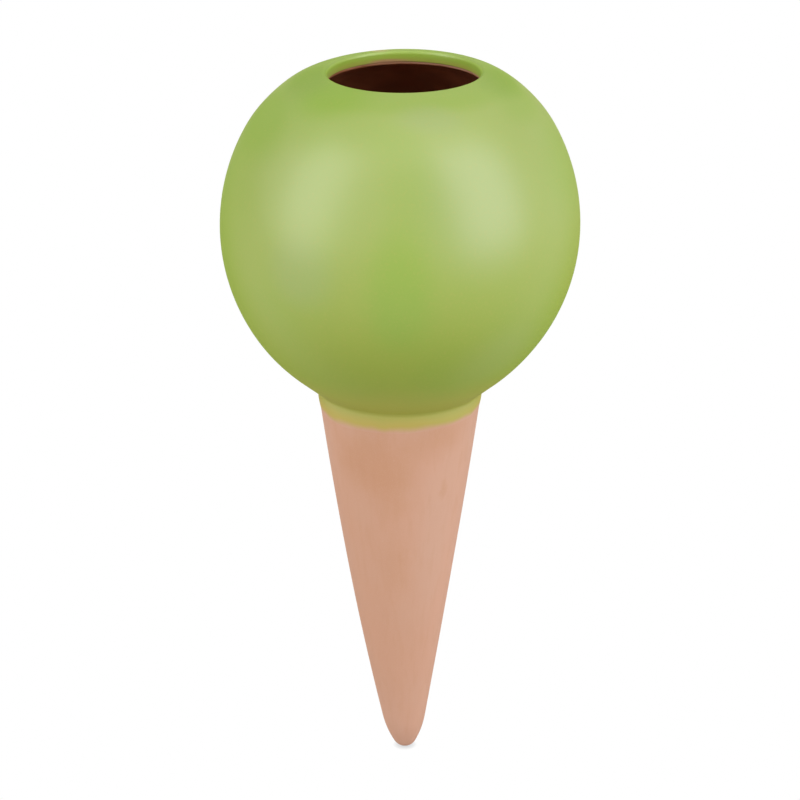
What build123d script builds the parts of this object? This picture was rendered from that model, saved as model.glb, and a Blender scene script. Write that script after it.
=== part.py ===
"""A self watering spike: a glazed earthenware ball that holds water, luted to a hollow spike of bare clay.

The spike is pushed into the soil up to the ball. Water seeps out through its bare, porous wall.
Millimetres, +Z up. The origin is on the axis at the soil line, where the ball's underside meets the spike.
Every piece is turned, so each is drawn as the half section to the right of the axis: X is the radius, Y the height.
"""

import os
from math import acos, cos, degrees, radians, sin, tan

from build123d import *

# The ball's outside, over the glaze
belly_diameter = 97.6
belly_height = 46.8  # the widest ring, above the soil line
crown_height = 90.1  # where the crown would reach the throat, before the lip is rounded
shoulder_bend = 55.3  # radius of the wall from the belly up to the shoulder
shoulder_turn = 28.2  # degrees that the wall leans in by at the shoulder
skirt_slope = 39.5  # degrees from level, of the straight underside that runs down to the spike

# The ball's wall and mouth
ball_wall = 3.7
mouth_diameter = 41.2  # clear throat, inside the glaze
lip_round = 0.7  # on the clay's top edge
throat_round = 0.5  # on the clay's lower edge, inside the mouth
floor_round = 0.8  # where the ball's floor breaks into its foot hole

# The glaze
glaze_coat = 0.4  # on the ball
throat_glaze_depth = 3.35  # from the crown's height down to the wiped edge inside the throat
fringe_coat = 0.25  # thinner glaze that ran over the joint on to the spike
fringe_depth = 5.2  # below the soil line

# The spike
neck_diameter = 45.4  # at the soil line, over the glaze
spike_length = 110.5  # below the soil line
spike_wall = 4.2
tip_bend = 3.5  # radius of the blunt point
tip_turn = 61.0  # degrees, from the point round to the nose
nose_bend = 27.4  # radius of the nose, between the point and the long flank
nose_turn = 18.0  # degrees
bore_end_bend = 2.8  # radius of the blind end of the bore
bore_end_turn = 79.0  # degrees, from the axis round to the bore's flank
tip_clay = 13.0  # solid clay left under the bore

# The slip that lutes the ball to the spike
slip_bed = 0.6
slip_bead = 1.2  # radius of the bead that was squeezed out into the bore

# Worked out from the sizes above
belly_radius = belly_diameter / 2
mouth_radius = mouth_diameter / 2
neck_radius = neck_diameter / 2
spike_top_radius = neck_radius - fringe_coat
bore_radius = spike_top_radius - spike_wall
skirt_turn = 90 - skirt_slope
skirt_rise = tan(radians(skirt_slope))

# The flank is the one arc that leaves the belly upright and runs smoothly into the skirt's slope at the neck
flank_drop = belly_height - (belly_radius - neck_radius) * skirt_rise
flank_bend = flank_drop / tan(radians(skirt_turn / 2))

# The crown is the one arc that carries on from the shoulder and reaches the throat's edge
lean_in, lean_up = cos(radians(shoulder_turn)), sin(radians(shoulder_turn))
shoulder_radius = belly_radius - shoulder_bend * (1 - lean_in)
shoulder_height = belly_height + shoulder_bend * lean_up
crown_run, crown_rise = shoulder_radius - mouth_radius, crown_height - shoulder_height
crown_bend = (crown_run**2 + crown_rise**2) / (2 * (crown_run * lean_in - crown_rise * lean_up))
crown_centre_radius = shoulder_radius - crown_bend * lean_in
crown_turn = degrees(acos((mouth_radius - crown_centre_radius) / crown_bend)) - shoulder_turn


def block(radius, low, high):
    """A half section of a plain cylinder on the axis."""
    return Pos(0, low) * Rectangle(radius, high - low, align=(Align.MIN, Align.MIN))


def turned(section, label):
    """The solid that a half section makes round the axis."""
    solid = revolve(Plane.XZ * section, Axis.Z)
    solid.label = label
    return solid


def ball_blank(inset):
    """The ball before its mouth and foot are cut, with its skin moved in by inset."""
    belly = (belly_radius - inset, belly_height)
    shoulder = JernArc(belly, (0, 1), shoulder_bend - inset, shoulder_turn)
    crown = JernArc(shoulder @ 1, shoulder % 1, crown_bend - inset, crown_turn)
    flank = JernArc(belly, (0, -1), flank_bend - inset, -skirt_turn)
    top = (0, (crown @ 1).Y)
    point = (0, (flank @ 1).Y - (flank @ 1).X * skirt_rise)
    rim = Line(crown @ 1, top)
    middle = Line(top, point)
    skirt = Line(point, flank @ 1)
    return make_face([shoulder, crown, rim, middle, skirt, flank])


def ball_outside(inset, lip):
    """The blank above the soil line, with its throat cut and its lip rounded."""
    blank = ball_blank(inset) - block(belly_diameter, -belly_diameter, 0)
    opened = blank - block(mouth_radius + inset, belly_height, crown_height)
    return fillet(opened.vertices().sort_by(Axis.Y)[-1], lip)


def spike_blank():
    """The spike's outside, solid: point, nose and one long, slightly swelling flank."""
    point = JernArc((0, -spike_length), (1, 0), tip_bend, tip_turn)
    nose = JernArc(point @ 1, point % 1, nose_bend, nose_turn)
    flank = TangentArc(nose @ 1, (spike_top_radius, 0), tangent=nose % 1)
    rim = Line(flank @ 1, (0, 0))
    middle = Line((0, 0), point @ 0)
    return make_face([point, nose, flank, rim, middle])


def spike_bore():
    """The tapered bore, blind at its lower end."""
    end = JernArc((0, tip_clay - spike_length), (1, 0), bore_end_bend, bore_end_turn)
    flank = TangentArc(end @ 1, (bore_radius, 0), tangent=end % 1)
    rim = Line(flank @ 1, (0, 0))
    middle = Line((0, 0), end @ 0)
    return make_face([end, flank, rim, middle])


def reservoir_ball():
    """The hollow clay ball, open at the mouth and at the foot."""
    hollow = ball_blank(glaze_coat + ball_wall)
    foot_hole = block(bore_radius, 0, belly_height)
    section = ball_outside(glaze_coat, lip_round) - hollow - foot_hole
    throat_edge = section.vertices().filter_by_position(Axis.X, *around(mouth_radius + glaze_coat)).sort_by(Axis.Y)[0]
    section = fillet(throat_edge, throat_round)
    floor_edge = section.vertices().filter_by_position(Axis.X, *around(bore_radius)).sort_by(Axis.Y)[-1]
    section = fillet(floor_edge, floor_round)
    return turned(section, "reservoir_ball")


def around(size):
    """Limits just below and above a size, to pick the corners that lie on it."""
    slack_share = 1e-6
    return size * (1 - slack_share), size * (1 + slack_share)


def ball_glaze():
    """The coat over the whole ball, rolled over the lip and wiped off part way down the throat."""
    coat = ball_outside(0, lip_round + glaze_coat) - ball_outside(glaze_coat, lip_round)
    wiped = block(mouth_radius + glaze_coat, 0, crown_height - throat_glaze_depth)
    return turned(coat - wiped, "ball_glaze")


def spike():
    """The bare clay spike, cut level under its bed of slip."""
    section = spike_blank() - spike_bore() - block(spike_top_radius, -slip_bed, 0)
    return turned(section, "spike")


def luting_slip():
    """The bed of slip between ball and spike, with the bead that it left inside."""
    bed = (spike_blank() & block(spike_top_radius, -slip_bed, 0)) - spike_bore()
    inside = spike_bore() + block(bore_radius, 0, slip_bead)
    bead = Pos(bore_radius, -slip_bed / 2) * Circle(slip_bead) & inside
    return turned(bed + bead, "luting_slip")


def glaze_fringe():
    """The thin band of glaze that ran over the joint and stopped on the spike's shoulder."""
    band = block(neck_radius, -fringe_depth, 0) - block(bore_radius, -fringe_depth, 0)
    grown = offset(spike_blank(), amount=fringe_coat) & band
    return turned(grown - spike_blank(), "glaze_fringe")


os.makedirs("parts", exist_ok=True)
for piece in (reservoir_ball(), ball_glaze(), luting_slip(), spike(), glaze_fringe()):
    export_step(piece, f"parts/{piece.label}.step")
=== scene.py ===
from math import atan2, copysign, cos, hypot, pi, radians, sin, sqrt, tan

import bmesh
import bpy
from mathutils import Matrix, Vector, noise


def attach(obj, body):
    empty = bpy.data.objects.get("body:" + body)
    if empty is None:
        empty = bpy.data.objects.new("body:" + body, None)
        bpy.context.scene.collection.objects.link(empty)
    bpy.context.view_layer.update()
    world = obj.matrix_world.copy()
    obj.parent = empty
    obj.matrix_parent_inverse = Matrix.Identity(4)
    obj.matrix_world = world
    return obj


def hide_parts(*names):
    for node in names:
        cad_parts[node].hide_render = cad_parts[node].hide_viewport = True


bl_info = {
    "name": "Self Watering Spike",
    "version": (1, 0, 0),
    "blender": (4, 5, 0),
    "location": "3D View > Sidebar > Watering Spike",
    "description": "Makes a glazed ball on a hollow clay spike that waters a plant, and its stage",
    "category": "Add Mesh",
}

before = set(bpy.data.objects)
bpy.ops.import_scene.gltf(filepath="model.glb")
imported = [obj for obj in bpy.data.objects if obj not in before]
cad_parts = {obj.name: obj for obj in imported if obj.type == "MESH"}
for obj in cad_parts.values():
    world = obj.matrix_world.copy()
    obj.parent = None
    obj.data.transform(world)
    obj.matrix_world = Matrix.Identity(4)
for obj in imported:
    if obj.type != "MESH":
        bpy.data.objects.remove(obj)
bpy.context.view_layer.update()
MM = 0.001

# How finely the arcs of the half sections are drawn, in steps
FLANK_STEPS, SHOULDER_STEPS, CROWN_STEPS, LIP_STEPS = 34, 16, 22, 14
TIP_STEPS, NOSE_STEPS, SPIKE_STEPS = 12, 8, 60
BORE_END_STEPS, BORE_STEPS = 10, 50
CORNER_STEPS, WIPED_EDGE_STEPS = 4, 6
CREASE_STEPS, RUN_STEPS, BEAD_STEPS = 8, 14, 12

# And each full turn round the axis
CLAY_TURN_STEPS, GLAZE_TURN_STEPS, SLIP_TURN_STEPS = 160, 192, 128

# Gaps that count as none
MERGE_GAP = 0.002 * MM
JOIN_GAP = 0.02 * MM
CUT_GAP = 0.001 * MM
SHARP_ANGLE = radians(50)

# The hand-made surface. The first two are shares of the mouth's width, beyond the throat
DRIFT_REACH = 0.25
CROWN_SWELL_REACH = 1 / 2.4
SPIKE_SWELL_REACH = 3 * MM  # below the soil line
LEAN_REACH = 15 * MM  # above the soil line
WANDER_SIZE = 38 * MM
WANDER_SEED = 260  # not 0, which would stand for the clock
BEAD_WANDER_SIZE = 7 * MM
BEAD_WANDER = 0.35 * MM

# The run's lower edge: how high its waves are, and each wave's share, count round the axis and phase
RUN_WAVE_HEIGHT = 0.25 * MM
RUN_WAVES = ((0.5, 2, 0.6), (0.3, 3, 2.2), (0.2, 7, 0))
RUN_SHORT_AT = radians(-18)  # where it is shortest, from the right-hand side
RUN_THINNING = 1.1  # of the coat, so that its lower edge dips just under the clay
RUN_BACKING = 3  # coats of depth that its hidden side lies inside the clay


def linear(code):
    """The linear colour of an sRGB hex value."""
    shares = [(code >> shift & 255) / 255 for shift in (16, 8, 0)]
    return tuple(s / 12.92 if s <= 0.04045 else ((s + 0.055) / 1.055) ** 2.4 for s in shares)


def length(name, description, millimetres):
    """A size for the panel, whose default is given in millimetres."""
    return bpy.props.FloatProperty(
        name=name,
        description=description,
        default=millimetres * MM,
        min=0,
        unit="LENGTH",
        subtype="DISTANCE",
    )


def angle(name, description, turn):
    """An angle for the panel, whose default is given in degrees."""
    return bpy.props.FloatProperty(
        name=name,
        description=description,
        default=radians(turn),
        unit="ROTATION",
        subtype="ANGLE",
    )


def colour(name, description, code):
    """A colour for the panel, whose default is an sRGB hex value."""
    return bpy.props.FloatVectorProperty(
        name=name,
        description=description,
        default=linear(code),
        size=3,
        min=0,
        max=1,
        subtype="COLOR",
    )


class SpikeSizes(bpy.types.PropertyGroup):
    """The sizes of the ball, its coat of glaze and the spike."""

    belly_diameter: length("Belly diameter", "The ball's widest ring, over the glaze", 97.6)
    belly_height: length("Belly height", "The widest ring, above the soil line", 46.8)
    crown_height: length("Crown height", "Where the crown would reach the throat", 90.1)
    shoulder_bend: length("Shoulder bend", "Radius of the wall from the belly up to the shoulder", 55.3)
    shoulder_turn: angle("Shoulder turn", "How far the wall leans in at the shoulder", 28.2)
    skirt_slope: angle("Skirt slope", "Slope of the straight underside, from level", 39.5)
    ball_wall: length("Ball wall", "Thickness of the ball's clay", 3.7)
    mouth_diameter: length("Mouth diameter", "The clear throat, inside the glaze", 41.2)
    lip_round: length("Lip round", "Radius of the clay's top edge", 0.7)
    throat_round: length("Throat round", "Radius of the clay's lower edge inside the mouth", 0.5)
    glaze_coat: length("Glaze coat", "Thickness of the glaze on the ball", 0.4)
    throat_glaze_depth: length("Throat glaze depth", "From the crown down to the glaze's wiped edge", 3.6)
    run_coat: length("Run coat", "Thickness of the glaze that ran on to the spike", 0.25)
    run_depth: length("Run depth", "How far the glaze ran below the soil line", 5.9)
    crease_round: length("Crease round", "Radius of the glaze that filled the crease under the ball", 2.2)
    run_short: length("Run short", "How much less far it ran on the right-hand side", 0.9)
    neck_diameter: length("Neck diameter", "At the soil line, over the glaze", 45.4)
    spike_length: length("Spike length", "Below the soil line", 110.5)
    spike_wall: length("Spike wall", "Thickness of the spike's clay at its top", 4.2)
    tip_bend: length("Tip bend", "Radius of the blunt point", 3.5)
    tip_turn: angle("Tip turn", "From the point round to the nose", 61.0)
    nose_bend: length("Nose bend", "Radius between the point and the long flank", 27.4)
    nose_turn: angle("Nose turn", "From the point's edge round to the flank", 18.0)
    bore_end_bend: length("Bore end bend", "Radius of the bore's blind end", 2.8)
    bore_end_turn: angle("Bore end turn", "From the axis round to the bore's flank", 79.0)
    tip_clay: length("Tip clay", "Solid clay under the bore", 13.0)
    slip_bed: length("Slip bed", "Thickness of the slip between ball and spike", 0.6)
    slip_bead: length("Slip bead", "Radius of the bead that squeezed into the bore", 1.2)
    mouth_drift: length("Mouth drift", "How far the mouth lies off the axis, to the right", 0.8)
    crown_swell: length("Crown swell", "How much fuller the crown is round the mouth", 0.32)
    mouth_tilt: angle("Mouth tilt", "How far the lip rises to the right", 0.4)
    ball_lean: angle("Ball lean", "How far the ball leans to the right", 0.35)
    spike_swell: length("Spike swell", "How much fuller the spike is at its top", 0.18)
    tip_drift: length("Tip drift", "How far the point lies off the axis, to the right", 1.45)
    unevenness: length("Unevenness", "How far the hand-finished surface wanders", 0.1)


class SpikeColours(bpy.types.PropertyGroup):
    """The colours of the glaze and the clay."""

    glaze: colour("Glaze", "The matt green glaze on the shoulder", 0xA6BA5C)
    # Darker and less blue than the shoulder: partly the glaze's own tone, partly painted shade
    low_glaze_and_shade: colour("Low glaze", "The same glaze on the ball's lower half", 0x9FB32C)
    # Also painted shade, in patches at the sides, beside the lip and down the front, and in a ring round the
    # lip
    deep_glaze_and_shade: colour("Deep glaze", "The same glaze where it pooled thicker", 0x90B328)
    # A painted sheen: the glaze paler and bluer in and below the lamps' highlights and in a spot on the front
    # of the crown
    painted_sheen_glaze: colour("Dull glaze", "The same glaze where a faint bloom dulls it", 0xA3B668)
    # Painted shade: a darker green beside both ends of the mouth
    lip_end_shade_glaze: colour("Groove glaze", "The same glaze in the faint groove beside the lip", 0x82A02E)
    # Painted light: brighter glaze inside the throat, standing in for the front light that reaches it
    lit_throat_glaze: colour("Throat glaze", "The same glaze inside the mouth, deep and bright", 0xABCB48)
    thin_glaze: colour("Thin glaze", "The same glaze where it is thin and clay shows through", 0xC9B450)
    thin_green: colour("Thin green", "Thin glaze with a little more green in it", 0xBFBE56)
    clay: colour("Clay", "Bare fired clay", 0xE2AF95)
    stained_clay: colour("Stained clay", "Fired clay with a tan bloom", 0xD59C77)
    pale_clay: colour("Pale clay", "Fired clay where the wiped skin is palest", 0xE1B59E)
    # Darker and redder than the spike's clay
    inner_clay: colour("Inner clay", "The ball's unwiped inside", 0xBC744E)
    # Random dark clouds inside, and painted shade on the middle of the far inside wall
    inner_clouds_and_shade: colour("Inner shade", "The darkest clouds of the ball's inside", 0x8E5438)


# Half sections


class Pen:
    """Draws a half section in the XZ plane with extrude and spin. X is the radius and Z the height."""

    def __init__(self, bm, radius, height, heading):
        self.bm = bm
        self.point = bm.verts.new((radius, 0, height))
        self.heading = heading

    def run(self, distance):
        """A straight line along the heading."""
        self.point = bmesh.ops.extrude_vert_indiv(self.bm, verts=[self.point])["verts"][0]
        step = Vector((cos(self.heading), 0, sin(self.heading))) * distance
        bmesh.ops.translate(self.bm, verts=[self.point], vec=step)
        return self

    def to(self, radius, height):
        """A straight line to a place."""
        run, rise = radius - self.point.co.x, height - self.point.co.z
        self.heading = atan2(rise, run)
        return self.run(hypot(run, rise))

    def arc(self, bend, turn, steps):
        """An arc that carries on from the heading and turns left, or right where turn is negative."""
        aside = Vector((-sin(self.heading), 0, cos(self.heading))) * copysign(bend, turn)
        made = bmesh.ops.spin(
            self.bm,
            geom=[self.point],
            cent=self.point.co + aside,
            axis=(0, -1, 0),
            angle=turn,
            steps=steps,
        )
        self.point = [g for g in made["geom_last"] if isinstance(g, bmesh.types.BMVert)][0]
        self.heading += turn
        return self

    def arc_to(self, radius, height, steps):
        """The one arc that carries on from the heading and ends at a place."""
        run, rise = radius - self.point.co.x, height - self.point.co.z
        half_turn = atan2(rise, run) - self.heading
        return self.arc(abs(hypot(run, rise) / (2 * sin(half_turn))), 2 * half_turn, steps)


class BallShape:
    """What the ball's sizes lead to: its radii, its flank and its crown."""

    def __init__(self, s):
        self.belly, self.mouth, self.neck = s.belly_diameter / 2, s.mouth_diameter / 2, s.neck_diameter / 2
        drop = s.belly_height - (self.belly - self.neck) * tan(s.skirt_slope)
        self.flank_bend = drop / tan((pi / 2 - s.skirt_slope) / 2)
        lean_in, lean_up = cos(s.shoulder_turn), sin(s.shoulder_turn)
        shoulder = self.belly - s.shoulder_bend * (1 - lean_in)
        shoulder_height = s.belly_height + s.shoulder_bend * lean_up
        run, rise = shoulder - self.mouth, s.crown_height - shoulder_height
        self.crown_bend = (run**2 + rise**2) / (2 * (run * lean_in - rise * lean_up))
        self.crown_centre = (
            shoulder - self.crown_bend * lean_in,
            shoulder_height - self.crown_bend * lean_up,
        )


def draw_skin(bm, s, inset, lip, low, throat_low):
    """The ball's skin from low on its skirt, up over the crown and lip, and down the throat."""
    ball = BallShape(s)
    skirt_turn = pi / 2 - s.skirt_slope
    bend = ball.flank_bend - inset
    flank_foot = (
        ball.belly - inset - bend * (1 - cos(skirt_turn)),
        s.belly_height - bend * sin(skirt_turn),
    )
    low_radius = flank_foot[0] - (flank_foot[1] - low) / tan(s.skirt_slope)
    lip_reach = ball.crown_bend - inset - lip
    lip_run = ball.mouth + inset + lip - ball.crown_centre[0]
    lip_lean = atan2(sqrt(lip_reach**2 - lip_run**2), lip_run)
    pen = Pen(bm, low_radius, low, s.skirt_slope)
    start = pen.point
    pen.to(*flank_foot)
    pen.heading = s.skirt_slope
    pen.arc(bend, skirt_turn, FLANK_STEPS)
    pen.arc(s.shoulder_bend - inset, s.shoulder_turn, SHOULDER_STEPS)
    pen.arc(ball.crown_bend - inset, lip_lean - s.shoulder_turn, CROWN_STEPS)
    pen.arc(lip, pi - lip_lean, LIP_STEPS)
    pen.to(pen.point.co.x, throat_low)
    return start, pen


def draw_spike(bm, s):
    """The spike's outside and its bore, each from the axis up to the soil line."""
    top = s.neck_diameter / 2 - s.run_coat
    outside = Pen(bm, 0, -s.spike_length, 0)
    outside.arc(s.tip_bend, s.tip_turn, TIP_STEPS)
    outside.arc(s.nose_bend, s.nose_turn, NOSE_STEPS)
    outside.arc_to(top, 0, SPIKE_STEPS)
    bore = Pen(bm, 0, s.tip_clay - s.spike_length, 0)
    bore.arc(s.bore_end_bend, s.bore_end_turn, BORE_END_STEPS)
    bore.arc_to(top - s.spike_wall, 0, BORE_STEPS)
    return outside, bore


def close_loop(bm, first, second):
    """Joins the two ends of an open section."""
    bmesh.ops.contextual_create(bm, geom=[first, second])


def soften(bm, corner, radius):
    """Rounds a corner of a section."""
    one, two = [(e.other_vert(corner).co - corner.co).normalized() for e in corner.link_edges]
    reach = radius / tan(one.angle(two) / 2)
    bmesh.ops.bevel(
        bm,
        geom=[corner],
        offset=reach,
        segments=CORNER_STEPS,
        profile=0.5,
        affect="VERTICES",
        material=-1,
    )


# Hand-made surface


def eased(share):
    """A share from 0 to 1 with a soft start and end."""
    share = min(max(share, 0), 1)
    return share * share * (3 - 2 * share)


def hand_made(place, s):
    """Where a point of the turned form lies on the real, slightly uneven piece."""
    x, y, z = place
    rise = eased((z - s.belly_height) / (s.crown_height - s.belly_height))
    beyond = (hypot(x, y) - s.mouth_diameter / 2) / s.mouth_diameter
    x += s.mouth_drift * rise * eased(1 - beyond / DRIFT_REACH)
    z += x * tan(s.mouth_tilt) * rise**3
    z += s.crown_swell * rise * sin(pi * min(max(beyond / CROWN_SWELL_REACH, 0), 1)) ** 2
    if z < 0:
        swell = 1 + s.spike_swell / (s.neck_diameter / 2) * eased(-z / SPIKE_SWELL_REACH)
        x, y = x * swell + s.tip_drift * (-z / s.spike_length) ** 3, y * swell
    else:
        x += tan(s.ball_lean) * (z - s.belly_height) * eased(z / LEAN_REACH)
    wander = noise.noise_vector(place / WANDER_SIZE) * s.unevenness
    return Vector((x, y, z)) + wander


def run_reach(around, s):
    """How far below the soil line the glaze ran, at an angle round the axis from the right-hand side."""
    waves = sum(share * sin(count * around + phase) for share, count, phase in RUN_WAVES)
    nearness = max(0, cos(around - RUN_SHORT_AT)) ** 3
    return s.run_depth - s.run_short * nearness + waves * RUN_WAVE_HEIGHT


def spin_round(bm, steps):
    """Turns a section round the axis, closes its seam and poles and makes its faces point outwards."""
    bmesh.ops.spin(
        bm,
        geom=bm.verts[:] + bm.edges[:],
        cent=(0, 0, 0),
        axis=(0, 0, 1),
        angle=2 * pi,
        steps=steps,
        use_merge=True,
    )
    bmesh.ops.remove_doubles(bm, verts=bm.verts[:], dist=MERGE_GAP)
    bmesh.ops.recalc_face_normals(bm, faces=bm.faces[:])


def place_piece(bm, name, s, nodes, material):
    """Makes a turned piece hand-made and puts it in place of its CAD nodes, riding on the part's one body."""
    # Vector noise has offsets that come from the clock unless it is seeded
    noise.seed_set(WANDER_SEED)
    for vert in bm.verts:
        vert.co = hand_made(vert.co, s)
    mesh = bpy.data.meshes.new(name)
    bm.to_mesh(mesh)
    bm.free()
    mesh.shade_smooth()
    mesh.set_sharp_from_angle(angle=SHARP_ANGLE)
    mesh.materials.append(material)
    piece = bpy.data.objects.new(name, mesh)
    bpy.context.scene.collection.objects.link(piece)
    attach(piece, "root")
    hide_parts(*nodes)


# Nodes


def add(tree, kind, feeds=(), **settings):
    """Adds a node with its settings. Feeds pair an input with its value or the output that drives it."""
    made = tree.nodes.new(kind)
    for name, value in settings.items():
        setattr(made, name, value)
    for socket, value in dict(feeds).items():
        if isinstance(value, bpy.types.NodeSocket):
            tree.links.new(value, made.inputs[socket])
        else:
            made.inputs[socket].default_value = value
    return made


def maths(tree, operation, *values, **settings):
    """The result of one sum on numbers."""
    feeds = enumerate(values)
    return add(tree, "ShaderNodeMath", feeds, operation=operation, **settings).outputs[0]


def vector_maths(tree, operation, *values, output="Vector"):
    """The result of one sum on vectors, which is a number where output is Value."""
    feeds = enumerate(values)
    return add(tree, "ShaderNodeVectorMath", feeds, operation=operation).outputs[output]


def axis_part(tree, place, axis):
    """One of a vector's three parts, X, Y or Z."""
    return add(tree, "ShaderNodeSeparateXYZ", {0: place}).outputs[axis]


def new_material(name):
    """An empty node material, and the object coordinates that its patterns read."""
    material = bpy.data.materials.new(name)
    material.use_nodes = True
    tree = material.node_tree
    tree.nodes.clear()
    here = add(tree, "ShaderNodeTexCoord").outputs["Object"]
    return material, tree, here


def paint(tree, below, above, share):
    """One colour over another, by a share from 0 to 1."""
    below, above = (tone if isinstance(tone, bpy.types.NodeSocket) else (*tone, 1) for tone in (below, above))
    return add(tree, "ShaderNodeMix", {0: share, 6: below, 7: above}, data_type="RGBA").outputs[2]


def ramp(tree, value, low, high, at_low=0.0, at_high=1.0):
    """Eases a value from one level to another between two limits."""
    feeds = {0: value, 1: low, 2: high, 3: at_low, 4: at_high}
    return add(tree, "ShaderNodeMapRange", feeds, interpolation_type="SMOOTHSTEP").outputs[0]


def speckle(tree, here, grain, detail=2.0, stretch=1.0):
    """Noise whose grain is a real size. A stretch above 1 draws it out along the axis."""
    drawn = add(tree, "ShaderNodeMapping", {"Vector": here, "Scale": (1, 1, 1 / stretch)}).outputs[0]
    return add(tree, "ShaderNodeTexNoise", {"Vector": drawn, "Scale": 1 / grain, "Detail": detail}).outputs[0]


def patch(tree, here, centre, reach, strength):
    """A soft round patch at a place on the part, as a share that is highest in its middle. Millimetres."""
    feeds = {"Vector": here, "Location": [v * MM for v in centre], "Scale": [v * MM for v in reach]}
    ball = add(tree, "ShaderNodeMapping", feeds, vector_type="TEXTURE").outputs[0]
    fade = add(tree, "ShaderNodeTexGradient", {"Vector": ball}, gradient_type="SPHERICAL").outputs["Fac"]
    return ramp(tree, fade, 0.0, 0.75, at_high=strength)


def paint_patches(tree, here, below, tone, patches):
    """One colour over another in soft patches, each given by its middle, reach and strength."""
    for centre, reach, strength in patches:
        below = paint(tree, below, tone, patch(tree, here, centre, reach, strength))
    return below


# Materials

# Heights above the soil line between which a tone comes in, in millimetres
SHOULDER_TONE = (28, 74)
# The ring round the lip is pooled glaze and painted shade
LIP_RING = (84.8, 88)
THIN_UNDERSIDE = (15, 0.5)
THIN_THROAT = (88.3, 86.9)
WIPED_CLAY = (86.2, 86.7)

# Patches on the glaze, in millimetres: middle, reach and strength
# Pooled glaze and painted shade: deeper green left of the mouth, at the ball's sides, beside the mouth's ends
# and down the front
DEEP_AND_SHADE_PATCHES = (
    ((-17, -18, 88), (17, 14, 9), 0.9),
    ((31, -10, 84), (13, 16, 8), 0.4),
    ((-35, -10, 79), (20, 23, 16), 0.7),
    ((-44, -12, 60), (15, 24, 26), 0.35),
    ((44, -12, 68), (14, 22, 18), 0.3),
    ((-23, -2, 88), (9, 13, 7), 0.65),
    ((27, -2, 87), (9, 13, 7), 0.6),
    ((-44, -14, 34), (15, 24, 22), 0.25),
    ((0, -48, 42), (13, 10, 26), 0.75),
)
# Painted sheen in and below the lamps' highlights and on the front of the crown
PAINTED_SHEEN_PATCHES = (
    ((20, -40, 66), (24, 18, 26), 0.5),
    ((8, -30, 85), (13, 7, 6), 0.65),
    ((-26, -41, 47), (14, 14, 14), 0.45),
    ((27, -33, 20), (20, 16, 14), 0.16),
)
# Painted shade beside both ends of the mouth
LIP_END_SHADE_PATCHES = (
    ((-24, -5, 88.5), (12, 15, 8), 0.36),
    ((25, -6, 88.3), (11, 13, 8), 0.33),
)
# Painted shade: a darker, less blue tone on the ball's left side
LEFT_SHADE_PATCHES = (((-42, -18, 50), (12, 24, 36), 0.3),)
BARE_LIP_PATCHES = (((-7, 20.5, 89.7), (6, 1.5, 0.7), 0.3),)

# Inside the throat, on both the glaze's wiped edge and the clay under it
WIPED_PATCHES = (((-5, 20.2, 86.6), (12, 3, 1.1), 0.9),)

# Patches on the clay, inside the ball and on the spike
# Painted shade on the middle of the far inside wall
INNER_SHADE_PATCHES = (((4, 38, 70), (22, 16, 24), 0.8),)
TAN_PATCHES = (
    ((-7, -17, -15), (18, 16, 15), 0.6),
    ((-2, -17, -24), (9, 9, 14), 0.4),
    ((-1, -14, -46), (7, 8, 15), 0.3),
    ((11.9, -14.6, -25.0), (1.6, 2, 4.5), 0.35),
    ((9, -17, -8), (15, 12, 9), 0.4),
    ((-10, -12, -62), (25, 20, 90), 0.33),
)
PALE_PATCHES = (
    ((10, -14, -36), (8, 9, 30), 0.45),
    ((16, -12, -14), (9, 12, 16), 0.25),
)

# How far noise moves a clay patch's edge, and the size of that noise
RAG_REACH = Vector((5, 5, 7)) * MM
RAG_SIZE = 7 * MM


def height_share(tree, height, limits, strength=1.0):
    """A share that comes in between two heights, which are given in millimetres."""
    start, end = limits
    return ramp(tree, height, start * MM, end * MM, at_high=strength)


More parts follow.
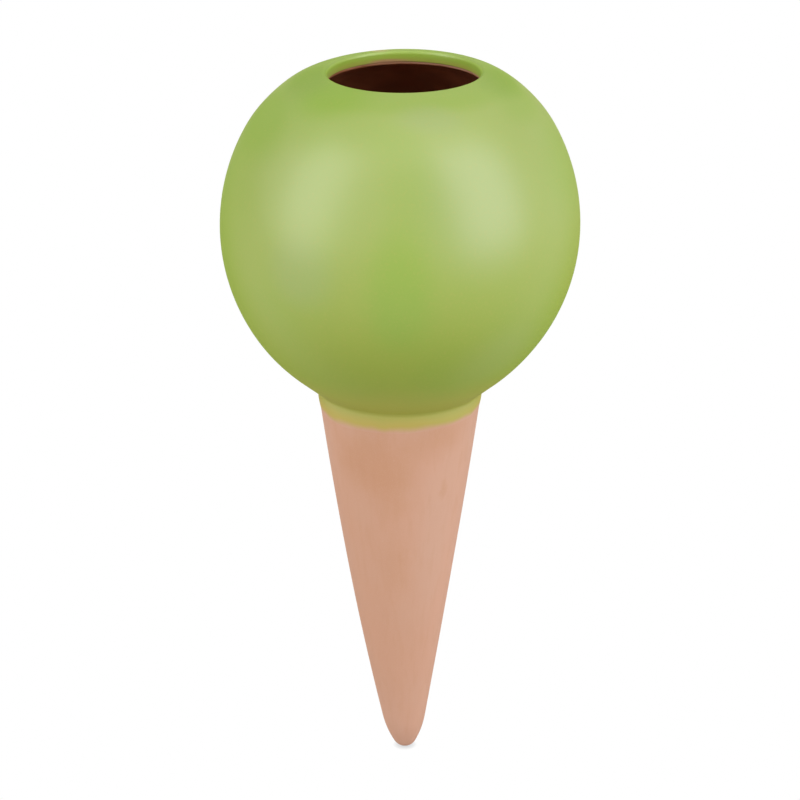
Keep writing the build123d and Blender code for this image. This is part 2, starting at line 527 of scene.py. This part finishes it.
def glaze_colour(tree, here, c):
    """The glaze's colour: deeper where it pooled, and darker and less blue on the lower half, which is partly
    painted shade. Painted shade also lies in patches, with a painted sheen under the lamps' highlights and
    painted light in the throat.
    """
    height = axis_part(tree, here, "Z")
    # Darker, less blue lower half: partly the glaze's own tone, partly painted shade
    green = paint(tree, c.low_glaze_and_shade, c.glaze, height_share(tree, height, SHOULDER_TONE))
    # Faint clouds, a little taller than wide, from how the dip ran off
    pooled = ramp(tree, speckle(tree, here, 30 * MM, detail=1.0, stretch=1.6), 0.46, 0.72, at_high=0.35)
    green = paint(tree, green, c.deep_glaze_and_shade, pooled)
    # Deeper in a ring round the lip: pooled glaze and painted shade
    green = paint(tree, green, c.deep_glaze_and_shade, height_share(tree, height, LIP_RING, strength=0.5))
    green = paint(tree, green, c.thin_glaze, height_share(tree, height, THIN_UNDERSIDE, strength=0.43))
    # Patches of pooled glaze and painted shade, painted sheen, painted shade beside the lip and on the left,
    # and bare clay on the lip
    for tone, patches in (
        (c.deep_glaze_and_shade, DEEP_AND_SHADE_PATCHES),
        (c.painted_sheen_glaze, PAINTED_SHEEN_PATCHES),
        (c.lip_end_shade_glaze, LIP_END_SHADE_PATCHES),
        (c.low_glaze_and_shade, LEFT_SHADE_PATCHES),
        (c.clay, BARE_LIP_PATCHES),
    ):
        green = paint_patches(tree, here, green, tone, patches)
    # Inside the throat the normal points back at the axis. There the glaze is painted brighter, as painted
    # light for the front light that reaches the throat, and the coat was wiped thin towards its edge
    normal = add(tree, "ShaderNodeNewGeometry").outputs["Normal"]
    level = vector_maths(tree, "MULTIPLY", here, (1, 1, 0))
    outward = vector_maths(tree, "DOT_PRODUCT", normal, level, output="Value")
    inside = ramp(tree, outward, -12 * MM, -20 * MM)
    green = paint(tree, green, c.lit_throat_glaze, inside)
    wiped = maths(tree, "MULTIPLY", inside, height_share(tree, height, THIN_THROAT, strength=0.6))
    green = paint(tree, green, c.thin_green, wiped)
    green = paint_patches(tree, here, green, c.stained_clay, WIPED_PATCHES)
    # Pinholes where the clay's own colour comes through
    pinholes = ramp(tree, speckle(tree, here, 0.8 * MM), 0.5, 0.75, at_high=0.12)
    return paint(tree, green, c.thin_glaze, pinholes)


def clay_colour(tree, here, c):
    """Fired clay as the eye sees it: cloudy, with a tan bloom at the front, streaks and a fine grain."""
    cloud = ramp(tree, speckle(tree, here, 20 * MM, stretch=1.5), 0.35, 0.7, at_high=0.5)
    tone = paint(tree, c.clay, c.pale_clay, cloud)
    # The patches get a ragged edge from noise that moves their coordinates either way
    feeds = {"Vector": here, "Scale": 1 / RAG_SIZE, "Detail": 3}
    rag = add(tree, "ShaderNodeTexNoise", feeds).outputs["Color"]
    moved = vector_maths(tree, "MULTIPLY_ADD", rag, RAG_REACH, here)
    ragged = vector_maths(tree, "SUBTRACT", moved, RAG_REACH / 2)
    tone = paint_patches(tree, ragged, tone, c.pale_clay, PALE_PATCHES)
    tone = paint_patches(tree, ragged, tone, c.stained_clay, TAN_PATCHES)
    streaks = ramp(tree, speckle(tree, here, 1.5 * MM, stretch=18), 0.45, 0.75, at_high=0.16)
    tone = paint(tree, tone, c.stained_clay, streaks)
    # Real grog is under 0.1 mm, which no picture of this size can show, so the grain is drawn coarser
    grain = ramp(tree, speckle(tree, here, 0.3 * MM), 0.5, 0.75, at_high=0.3)
    return paint(tree, tone, c.pale_clay, grain)


def finish_glaze(tree, here, tone, satin=0.39):
    """The glaze's shader: satin, with the slight orange peel of a dipped coat."""
    peel = speckle(tree, here, 1.3 * MM)
    bump = add(tree, "ShaderNodeBump", {"Height": peel, "Strength": 0.3, "Distance": 0.02 * MM}).outputs[0]
    # A matt coat's fine roughness keeps its reflection weak at a glancing angle. An export leaves this out
    facing = add(tree, "ShaderNodeLayerWeight", {"Blend": 0.5}).outputs["Facing"]
    feeds = {
        "Base Color": tone,
        "Roughness": ramp(tree, facing, 0.35, 0.95, at_low=satin, at_high=0.85),
        "IOR": 1.62,
        "Specular IOR Level": ramp(tree, facing, 0.45, 0.95, at_low=0.8, at_high=0.5),
        "Normal": bump,
    }
    shader = add(tree, "ShaderNodeBsdfPrincipled", feeds)
    add(tree, "ShaderNodeOutputMaterial", {"Surface": shader.outputs[0]})


def finish_clay(tree, here, tone):
    """The bare clay's shader: dry and matt, with a grain drawn coarser than real and faint wiping marks."""
    grain = speckle(tree, here, 0.35 * MM)
    marks = speckle(tree, here, 1.2 * MM, stretch=14)
    relief = maths(tree, "ADD", grain, marks)
    bump = add(tree, "ShaderNodeBump", {"Height": relief, "Strength": 0.35, "Distance": 0.04 * MM}).outputs[0]
    rough = ramp(tree, grain, 0.3, 0.7, at_low=0.82, at_high=0.94)
    feeds = {"Base Color": tone, "Roughness": rough, "IOR": 1.45, "Normal": bump}
    shader = add(tree, "ShaderNodeBsdfPrincipled", feeds)
    add(tree, "ShaderNodeOutputMaterial", {"Surface": shader.outputs[0]})


def glaze_material(c):
    """Matt earthenware glaze, dipped and fired: a soft satin green."""
    material, tree, here = new_material("matt_earthenware_glaze")
    finish_glaze(tree, here, glaze_colour(tree, here, c))
    return material


def run_material(c):
    """The same glaze where it ran over the joint and thinned out to nothing on the clay."""
    material, tree, here = new_material("thin_glaze_run")
    share = add(tree, "ShaderNodeAttribute", attribute_name="run_share").outputs["Fac"]
    # Noise moves the share either way, so that the run thins out unevenly
    moved = maths(tree, "MULTIPLY_ADD", speckle(tree, here, 5 * MM), 0.24, share)
    thinned = maths(tree, "SUBTRACT", moved, 0.12)
    greener = ramp(tree, axis_part(tree, here, "X"), 2 * MM, 16 * MM, at_high=0.5)
    thin = paint(tree, c.thin_glaze, c.thin_green, greener)
    tone = paint(tree, glaze_colour(tree, here, c), thin, ramp(tree, thinned, -0.05, 0.65))
    tone = paint(tree, tone, clay_colour(tree, here, c), ramp(tree, thinned, 0.55, 0.98))
    finish_glaze(tree, here, tone, ramp(tree, thinned, 0.1, 0.9, at_low=0.42, at_high=0.9))
    return material


def clay_material(c):
    """Fired earthenware, cast and wiped, left bare: a dry, pale salmon."""
    material, tree, here = new_material("fired_bare_earthenware")
    finish_clay(tree, here, clay_colour(tree, here, c))
    return material


def inner_clay_material(c):
    """The same earthenware inside the ball: darker and redder than the spike, with painted shade on the far
    wall's middle.
    """
    material, tree, here = new_material("fired_earthenware_inside")
    cloud = ramp(tree, speckle(tree, here, 12 * MM), 0.35, 0.7, at_high=0.6)
    tone = paint(tree, c.inner_clay, c.inner_clouds_and_shade, cloud)
    tone = paint_patches(tree, here, tone, c.inner_clouds_and_shade, INNER_SHADE_PATCHES)
    # The wiped edge under the glaze is nearly as pale as the spike
    height = axis_part(tree, here, "Z")
    edge = maths(tree, "MULTIPLY_ADD", speckle(tree, here, 9 * MM), 0.8 * MM, height)
    film = paint(tree, c.clay, c.stained_clay, 0.3)
    tone = paint(tree, tone, film, height_share(tree, edge, WIPED_CLAY, strength=0.8))
    tone = paint_patches(tree, here, tone, c.stained_clay, WIPED_PATCHES)
    finish_clay(tree, here, tone)
    return material


# Pieces


class SPIKE_OT_clay_ball(bpy.types.Operator):
    """Makes the hollow clay ball, open at its mouth and foot"""

    bl_idname = "watering_spike.clay_ball"
    bl_label = "Clay ball"

    def execute(self, context):
        s, c = context.scene.spike_sizes, context.scene.spike_colours
        ball = BallShape(s)
        bore = ball.neck - s.run_coat - s.spike_wall
        wall = s.glaze_coat + s.ball_wall
        throat_run = ball.mouth + s.glaze_coat - ball.crown_centre[0]
        reach = ball.crown_bend - wall
        throat_low = ball.crown_centre[1] + sqrt(reach**2 - throat_run**2)
        bm = bmesh.new()
        outer_foot, pen = draw_skin(bm, s, s.glaze_coat, s.lip_round, 0, throat_low)
        # The cavity's wall, from the throat down to the foot hole
        throat_edge = pen.point
        lean = atan2(throat_low - ball.crown_centre[1], throat_run)
        pen.heading = lean - pi / 2
        pen.arc(reach, s.shoulder_turn - lean, CROWN_STEPS)
        pen.arc(s.shoulder_bend - wall, -s.shoulder_turn, SHOULDER_STEPS)
        pen.arc(ball.flank_bend - wall, s.skirt_slope - pi / 2, FLANK_STEPS)
        fall = (pen.point.co.x - bore) * tan(s.skirt_slope)
        pen.to(bore, pen.point.co.z - fall)
        floor_edge = pen.point
        pen.to(bore, 0)
        close_loop(bm, pen.point, outer_foot)
        soften(bm, throat_edge, s.throat_round)
        # The floor breaks more softly into the foot hole than the throat's edge does
        soften(bm, floor_edge, 2 * s.throat_round)
        spin_round(bm, CLAY_TURN_STEPS)
        place_piece(bm, "clay_ball", s, ["reservoir_ball"], inner_clay_material(c))
        return {"FINISHED"}


class SPIKE_OT_glaze_coat(bpy.types.Operator):
    """Makes the coat of green glaze over the ball, rolled over the lip and wiped off inside the throat"""

    bl_idname = "watering_spike.glaze_coat"
    bl_label = "Glaze coat"

    def execute(self, context):
        s, c = context.scene.spike_sizes, context.scene.spike_colours
        wiped = s.crown_height - s.throat_glaze_depth + s.glaze_coat / 2
        bm = bmesh.new()
        outer_foot, outside = draw_skin(bm, s, 0, s.lip_round + s.glaze_coat, 0, wiped)
        outside.arc(s.glaze_coat / 2, pi, WIPED_EDGE_STEPS)
        inner_foot, inside = draw_skin(bm, s, s.glaze_coat, s.lip_round, 0, wiped)
        bmesh.ops.remove_doubles(bm, verts=[outside.point, inside.point], dist=JOIN_GAP)
        close_loop(bm, outer_foot, inner_foot)
        spin_round(bm, GLAZE_TURN_STEPS)
        place_piece(bm, "glaze_coat", s, ["ball_glaze"], glaze_material(c))
        return {"FINISHED"}


class SPIKE_OT_slip_joint(bpy.types.Operator):
    """Makes the bed of slip that joins ball and spike, with the bead that squeezed into the bore"""

    bl_idname = "watering_spike.slip_joint"
    bl_label = "Slip joint"

    def execute(self, context):
        s, c = context.scene.spike_sizes, context.scene.spike_colours
        top = s.neck_diameter / 2 - s.run_coat
        bore = top - s.spike_wall
        high = s.slip_bead - s.slip_bed / 2
        bm = bmesh.new()
        bed = Pen(bm, top, 0, pi)
        start = bed.point
        bed.to(bore, 0).to(bore, high)
        bed.heading = pi
        bed.arc(s.slip_bead, pi, BEAD_STEPS)
        bed.to(bore, -s.slip_bed).to(top, -s.slip_bed)
        close_loop(bm, bed.point, start)
        spin_round(bm, SLIP_TURN_STEPS)
        # The bead wanders a little in thickness, as it does where slip is squeezed out by hand
        for vert in bm.verts:
            x, y, z = vert.co
            inward = max(0, bore - hypot(x, y)) / s.slip_bead
            push = noise.noise(vert.co / BEAD_WANDER_SIZE) * BEAD_WANDER * inward
            vert.co = Vector((x, y, 0)) * (1 + push / hypot(x, y)) + Vector((0, 0, z + push))
        place_piece(bm, "slip_joint", s, ["luting_slip"], clay_material(c))
        return {"FINISHED"}


class SPIKE_OT_clay_spike(bpy.types.Operator):
    """Makes the hollow spike of bare clay"""

    bl_idname = "watering_spike.clay_spike"
    bl_label = "Clay spike"

    def execute(self, context):
        s, c = context.scene.spike_sizes, context.scene.spike_colours
        bm = bmesh.new()
        draw_spike(bm, s)
        # The bed of slip takes the spike's top
        bmesh.ops.bisect_plane(
            bm,
            geom=bm.verts[:] + bm.edges[:],
            plane_co=(0, 0, -s.slip_bed),
            plane_no=(0, 0, 1),
            clear_outer=True,
        )
        ends = sorted((v for v in bm.verts if v.co.z > -s.slip_bed - CUT_GAP), key=lambda v: v.co.x)
        close_loop(bm, ends[0], ends[-1])
        spin_round(bm, CLAY_TURN_STEPS)
        place_piece(bm, "clay_spike", s, ["spike"], clay_material(c))
        return {"FINISHED"}


class SPIKE_OT_glaze_run(bpy.types.Operator):
    """Makes the thin glaze that filled the crease, ran over the joint and stopped unevenly on the spike"""

    bl_idname = "watering_spike.glaze_run"
    bl_label = "Glaze run"

    def execute(self, context):
        s, c = context.scene.spike_sizes, context.scene.spike_colours
        # The spike's lean at its top, from a section that isn't kept
        aside = bmesh.new()
        lean = draw_spike(aside, s)[0].heading
        aside.free()
        bm = bmesh.new()
        share = bm.verts.layers.float.new("run_share")
        neck = s.neck_diameter / 2
        turn = lean - s.skirt_slope
        reach = s.crease_round * tan(turn / 2)
        outside = Pen(bm, neck + reach * cos(s.skirt_slope), reach * sin(s.skirt_slope), s.skirt_slope + pi)
        start = outside.point
        outside.arc(s.crease_round, turn, CREASE_STEPS)
        left = (s.run_depth + outside.point.co.z) / sin(lean)
        for _ in range(RUN_STEPS):
            outside.run(left / RUN_STEPS)
        # The hidden side lies a little inside the clay, so that no gap shows under the thin edge
        under = RUN_BACKING * s.run_coat
        outside.to(outside.point.co.x - under, outside.point.co.z)
        outside.to(neck - under, 0)
        outside.to(start.co.x - under, start.co.z + under * tan(s.skirt_slope))
        close_loop(bm, outside.point, start)
        spin_round(bm, GLAZE_TURN_STEPS)
        # The lower edge becomes uneven, and the coat thins out towards it
        for vert in bm.verts:
            x, y, z = vert.co
            run = max(0, -z / s.run_depth)
            vert[share] = -z / s.run_depth
            around = atan2(y, x)
            low = z if z > 0 else -run * run_reach(around, s)
            thinned = RUN_THINNING * s.run_coat * run**3
            radius = hypot(x, y) + (low - z) / tan(lean) - thinned
            vert.co = (radius * cos(around), radius * sin(around), low)
        place_piece(bm, "glaze_run", s, ["glaze_fringe"], run_material(c))
        return {"FINISHED"}


# The stage

# The photograph's own view, from 0.94 m away
CAMERA_PLACE = Vector((0, -0.8763, 0.3347))
CAMERA_PITCH = radians(21.15)
CAMERA_LENS = 153
CAMERA_SENSOR = 36
CAMERA_NEAR, CAMERA_FAR = 0.01, 20

# The lamps: aim from the ball, width, height, power in watts, and whether the glaze mirrors them
LAMP_TARGET = Vector((0, 0, 45 * MM))
LAMP_DISTANCE = 1.2
LAMPS = (
    ("left_softbox", (-0.82, -0.465, 0.29), 0.82, 1.8, 8.2, True),
    ("right_softbox", (0.81, -0.48, 0.3), 0.9, 1.85, 9.7, True),
    ("top_softbox", (0.15, -0.36, 0.92), 1.0, 0.8, 1.2, True),
    ("back_fill", (0, 0.96, 0.2), 0.9, 1.2, 3.2, False),
)

# The surroundings, as levels where 1 is white
SURROUND_LIGHT = 0.53
CEILING_LIGHT = 0.56
CEILING_RISE = 0.42  # the sine of the elevation from which all is ceiling
GAP_LIGHT = 0.3
GAP_EDGE, GAP_MIDDLE = 0.8, 0.97  # cosines of the angle from a gap's direction
GAPS = (((-0.8, 0.6, 0), 1.0), ((0.8, 0.6, 0), 0.35))  # direction and strength

# The floor
FLOOR_HALF_SIZE = 2.5
FLOOR_BOUNCE = 0.59
CONTACT_REACH = 1.6 * MM
CONTACT_SHADE = 0.68
RING_NEAR, RING_FAR, RING_LEVEL = 30 * MM, 260 * MM, 0.25
LEFT_NEAR, LEFT_FAR, LEFT_LEVEL = -100 * MM, -900 * MM, 0.6


def placed(scene, name, data, place, look_at):
    """A lamp or camera at a place, turned to look at a point."""
    made = bpy.data.objects.new(name, data)
    scene.collection.objects.link(made)
    made.location = place
    made.rotation_mode = "QUATERNION"
    made.rotation_quaternion = (Vector(look_at) - Vector(place)).to_track_quat("-Z", "Y")
    return made


def add_camera(scene):
    """The photograph's own view: 21 degrees above level, from 0.94 m away, with a 153 mm lens."""
    data = bpy.data.cameras.new("photo_camera")
    data.lens = CAMERA_LENS
    data.sensor_width = CAMERA_SENSOR
    data.clip_start, data.clip_end = CAMERA_NEAR, CAMERA_FAR
    ahead = CAMERA_PLACE + Vector((0, cos(CAMERA_PITCH), -sin(CAMERA_PITCH)))
    scene.camera = placed(scene, "photo_camera", data, CAMERA_PLACE, ahead)


def add_lamps(scene):
    """Two tall softboxes, left and right of the camera, a weak one overhead and a fill light behind."""
    for name, aim, width, height, power, mirrored in LAMPS:
        data = bpy.data.lights.new(name, "AREA")
        data.shape = "RECTANGLE"
        data.size, data.size_y = width, height
        data.energy = power
        place = LAMP_TARGET + Vector(aim).normalized() * LAMP_DISTANCE
        lamp = placed(scene, name, data, place, LAMP_TARGET)
        lamp.visible_glossy = mirrored


def seen_rays(tree):
    """Two values: 1 for the camera's own rays, and 1 for those and for mirrored or transmitted ones."""
    rays = add(tree, "ShaderNodeLightPath").outputs
    seen = maths(tree, "ADD", rays["Is Camera Ray"], rays["Is Glossy Ray"])
    seen = maths(tree, "ADD", seen, rays["Is Transmission Ray"], use_clamp=True)
    return rays["Is Camera Ray"], seen


def add_world(scene):
    """White to the camera. Reflections and light also get a grey ceiling and a darker gap at each end."""
    world = bpy.data.worlds.new("white_surroundings")
    world.use_nodes = True
    tree = world.node_tree
    tree.nodes.clear()
    camera, seen = seen_rays(tree)
    felt = maths(tree, "SUBTRACT", 1, camera)
    level = add(tree, "ShaderNodeMapRange", {0: seen, 3: SURROUND_LIGHT, 4: 1.0}).outputs[0]
    towards = add(tree, "ShaderNodeTexCoord").outputs["Generated"]
    ceiling = maths(tree, "MULTIPLY", ramp(tree, axis_part(tree, towards, "Z"), 0.0, CEILING_RISE), felt)
    level = add(tree, "ShaderNodeMix", {0: ceiling, 2: level, 3: CEILING_LIGHT}).outputs[0]
    for end, strength in GAPS:
        along = vector_maths(tree, "DOT_PRODUCT", towards, end, output="Value")
        gap = maths(tree, "MULTIPLY", ramp(tree, along, GAP_EDGE, GAP_MIDDLE, at_high=strength), felt)
        level = add(tree, "ShaderNodeMix", {0: gap, 2: level, 3: GAP_LIGHT}).outputs[0]
    background = add(tree, "ShaderNodeBackground", {"Color": (1, 1, 1, 1), "Strength": level})
    add(tree, "ShaderNodeOutputWorld", {"Surface": background.outputs[0]})
    scene.world = world


def add_floor(scene, height):
    """A white floor under the point, with the small soft shadow that the spike makes where it touches."""
    bm = bmesh.new()
    below = Matrix.Translation((0, 0, height))
    bmesh.ops.create_grid(bm, x_segments=1, y_segments=1, size=FLOOR_HALF_SIZE, matrix=below)
    mesh = bpy.data.meshes.new("floor")
    bm.to_mesh(mesh)
    bm.free()
    floor = bpy.data.objects.new("floor", mesh)
    scene.collection.objects.link(floor)
    material, tree, here = new_material("white_paper_floor")
    camera, seen = seen_rays(tree)
    near = add(tree, "ShaderNodeAmbientOcclusion", {"Distance": CONTACT_REACH}, samples=16).outputs["AO"]
    shade = add(tree, "ShaderNodeMapRange", {0: near, 1: 0.1, 2: 0.9, 3: CONTACT_SHADE, 4: 1.0}).outputs[0]
    # The glaze mirrors the floor darker close round the spike, where the ball keeps the lamps off it,
    # and also darker far out on the left
    aside = vector_maths(tree, "LENGTH", vector_maths(tree, "MULTIPLY", here, (1, 1, 0)), output="Value")
    ring = ramp(tree, aside, RING_NEAR, RING_FAR, at_low=RING_LEVEL)
    left = ramp(tree, axis_part(tree, here, "X"), LEFT_NEAR, LEFT_FAR, at_low=1.0, at_high=LEFT_LEVEL)
    mirrored = maths(tree, "MULTIPLY", ring, left)
    level = add(tree, "ShaderNodeMix", {0: camera, 2: mirrored, 3: shade}).outputs[0]
    white = add(tree, "ShaderNodeEmission", {"Color": (1, 1, 1, 1), "Strength": level}).outputs[0]
    grey = (FLOOR_BOUNCE, FLOOR_BOUNCE, FLOOR_BOUNCE, 1)
    paper = add(tree, "ShaderNodeBsdfDiffuse", {"Color": grey}).outputs[0]
    sheet = add(tree, "ShaderNodeMixShader", {0: seen, 1: paper, 2: white}).outputs[0]
    # From below the floor is clear, so that the part can be looked at from there too
    under = add(tree, "ShaderNodeNewGeometry").outputs["Backfacing"]
    clear = add(tree, "ShaderNodeBsdfTransparent").outputs[0]
    surface = add(tree, "ShaderNodeMixShader", {0: under, 1: sheet, 2: clear}).outputs[0]
    add(tree, "ShaderNodeOutputMaterial", {"Surface": surface})
    mesh.materials.append(material)


class SPIKE_OT_stage(bpy.types.Operator):
    """Makes the camera, the soft lamps, the white surroundings and the floor"""

    bl_idname = "watering_spike.stage"
    bl_label = "Stage"

    def execute(self, context):
        scene = context.scene
        scene.view_settings.view_transform = "Standard"
        add_camera(scene)
        add_lamps(scene)
        add_world(scene)
        add_floor(scene, -scene.spike_sizes.spike_length)
        return {"FINISHED"}


# The add-on


class SPIKE_PT_panel(bpy.types.Panel):
    """The sizes, the colours and one button for each piece"""

    bl_idname = "SPIKE_PT_panel"
    bl_label = "Self Watering Spike"
    bl_space_type = "VIEW_3D"
    bl_region_type = "UI"
    bl_category = "Watering Spike"

    def draw(self, context):
        for group in (context.scene.spike_sizes, context.scene.spike_colours):
            box = self.layout.box()
            for name in group.__annotations__:
                box.prop(group, name)
        for operator in OPERATORS:
            self.layout.operator(operator.bl_idname)


OPERATORS = (
    SPIKE_OT_clay_ball,
    SPIKE_OT_glaze_coat,
    SPIKE_OT_slip_joint,
    SPIKE_OT_clay_spike,
    SPIKE_OT_glaze_run,
    SPIKE_OT_stage,
)
CLASSES = (SpikeSizes, SpikeColours, *OPERATORS, SPIKE_PT_panel)


def register():
    for item in CLASSES:
        bpy.utils.register_class(item)
    bpy.types.Scene.spike_sizes = bpy.props.PointerProperty(type=SpikeSizes)
    bpy.types.Scene.spike_colours = bpy.props.PointerProperty(type=SpikeColours)


def unregister():
    del bpy.types.Scene.spike_colours
    del bpy.types.Scene.spike_sizes
    for item in reversed(CLASSES):
        bpy.utils.unregister_class(item)


def main():
    register()
    bpy.ops.watering_spike.clay_ball()
    bpy.ops.watering_spike.glaze_coat()
    bpy.ops.watering_spike.slip_joint()
    bpy.ops.watering_spike.clay_spike()
    bpy.ops.watering_spike.glaze_run()
    bpy.ops.watering_spike.stage()


if __name__ == "__main__":
    main()
